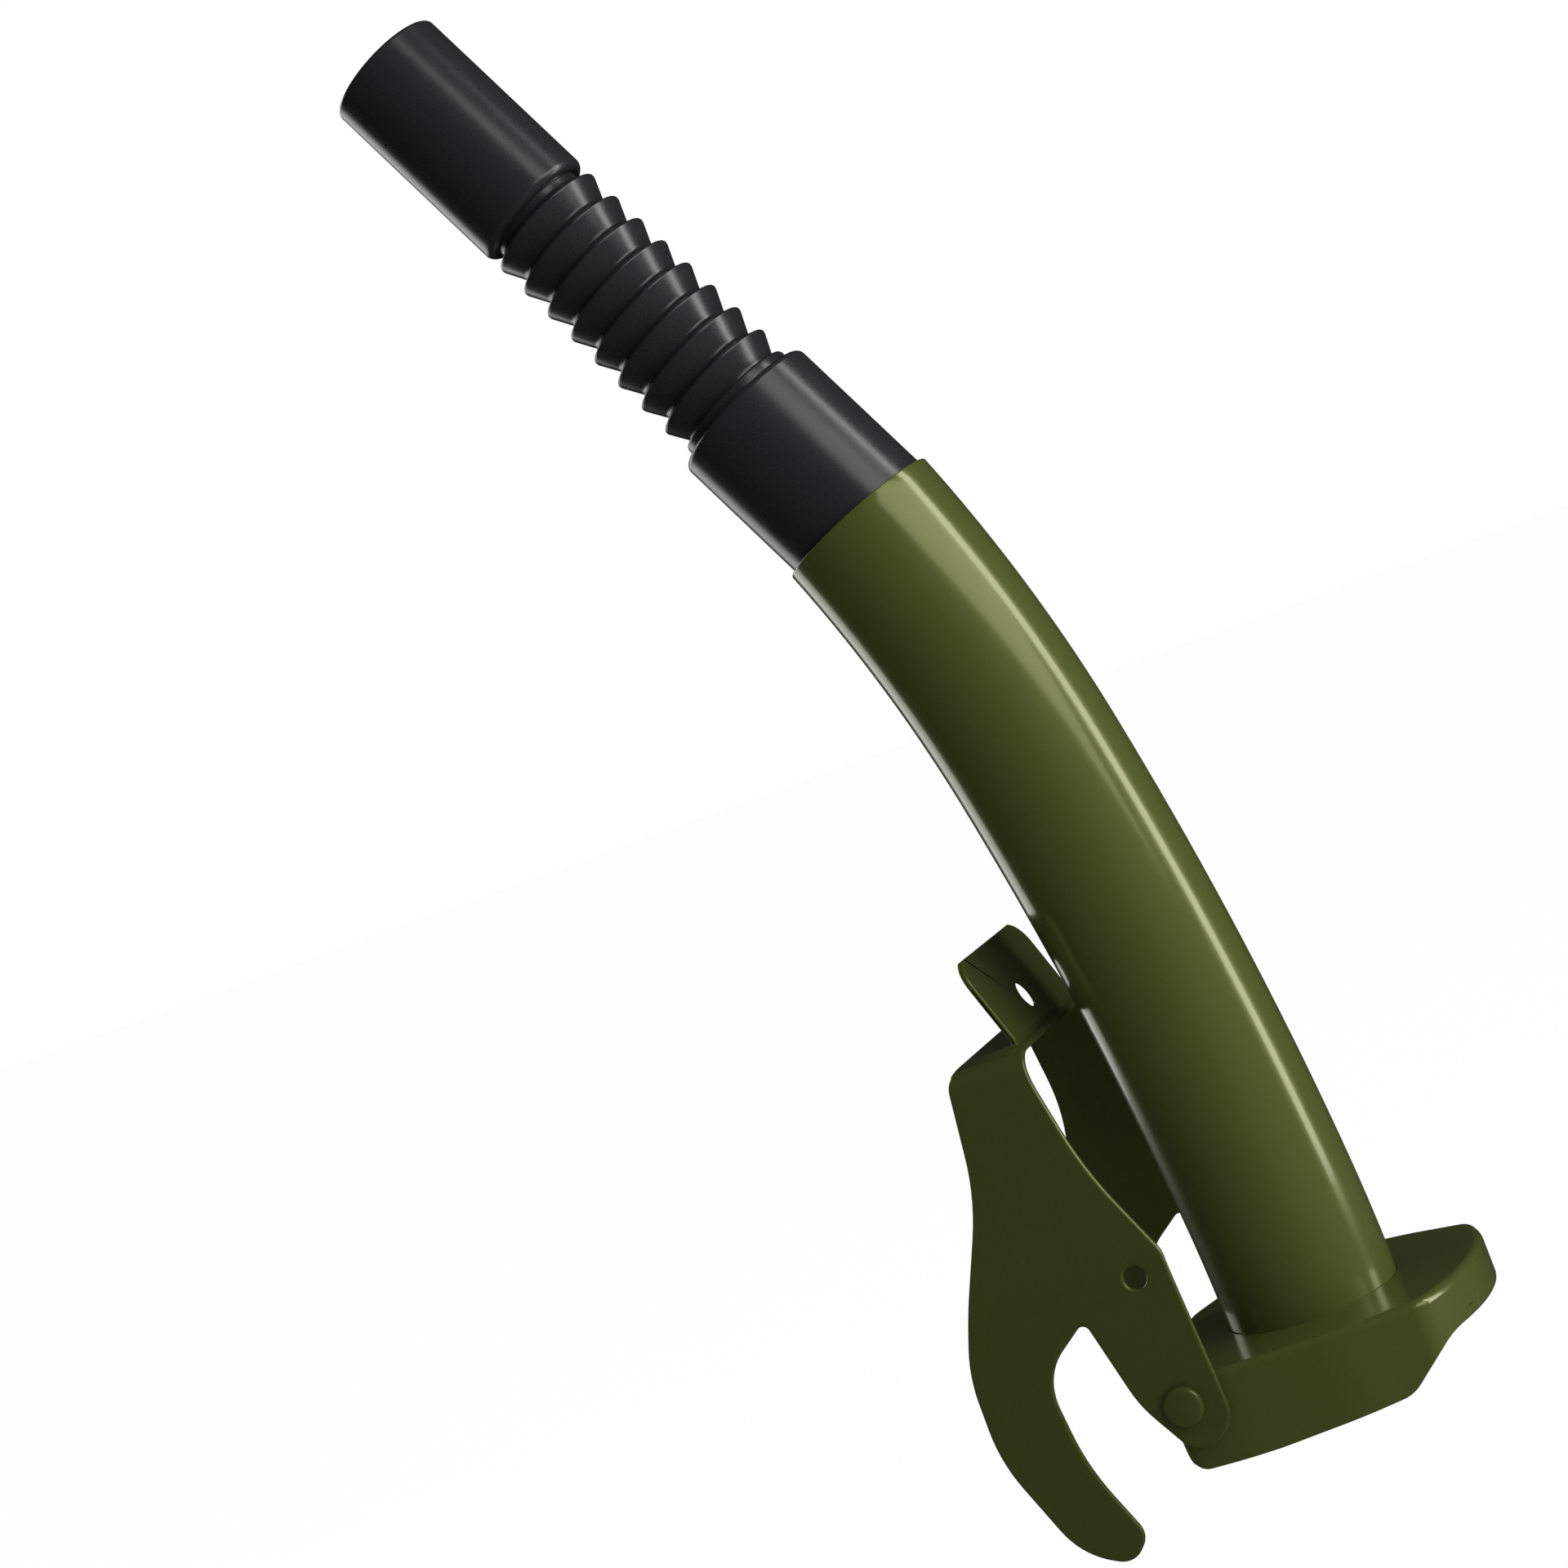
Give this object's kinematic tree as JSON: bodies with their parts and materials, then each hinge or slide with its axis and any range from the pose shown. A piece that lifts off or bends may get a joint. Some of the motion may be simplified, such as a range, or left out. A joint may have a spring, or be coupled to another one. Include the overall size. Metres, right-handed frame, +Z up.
{
  "type": "pouring spout",
  "caption": "Bent steel pouring spout for a fuel can: stamped clamp cap with seal, hook lever, and a ribbed flexible outlet hose with a plain tip.",
  "frame": {"origin": "centre of the sealing face under the cap, where the can's neck rim presses", "axes": "+Z up the tube at its foot, +X towards the cap's front lip, the clamp lever at -X and the pivot axis along Y; the tube leans towards -X"},
  "size_m": [0.1234, 0.0716, 0.302],
  "materials": {
    "olive_paint": "gloss olive paint on steel sheet and tube",
    "zinc_steel": "zinc plated steel, satin",
    "seal_rubber": "fuel resistant rubber, matte",
    "plated_steel": "plated steel pipe, satin",
    "rivet_paint": "steel rivet painted over with the cap",
    "sleeve_plastic": "black satin plastic with a fine grain",
    "hose_plastic": "black flexible plastic, satin",
    "cuff_plastic": "black satin plastic with a fine grain"
  },
  "bodies": {
    "spout": {"base_shell": "olive_paint", "backing_plate": "zinc_steel", "neck_gasket": "seal_rubber", "gasket_retainer": "zinc_steel", "spout_tube": "olive_paint", "vent_tube": "plated_steel", "pivot_rivets": "rivet_paint", "pivot_washers": "zinc_steel", "coupling_sleeve": "sleeve_plastic", "corrugated_hose": "hose_plastic"},
    "lever": {"clamp_lever": "olive_paint"},
    "outlet": {"outlet_cuff": "cuff_plastic"}
  },
  "joints": [
    {"name": "lever_pivot", "type": "hinge", "parent": "spout", "child": "lever", "pos_m": [-0.0176, 0, 0.0031], "axis": [0, 1, 0], "range_deg": [-90, 5]},
    {"name": "hose_flex", "type": "hinge", "parent": "spout", "child": "outlet", "pos_m": [-0.05193, 0, 0.21747], "axis": [0, 1, 0], "range_deg": [-45, 45], "stiffness_Nm_per_rad": 0.4, "deforming": ["corrugated_hose"]}
  ]
}
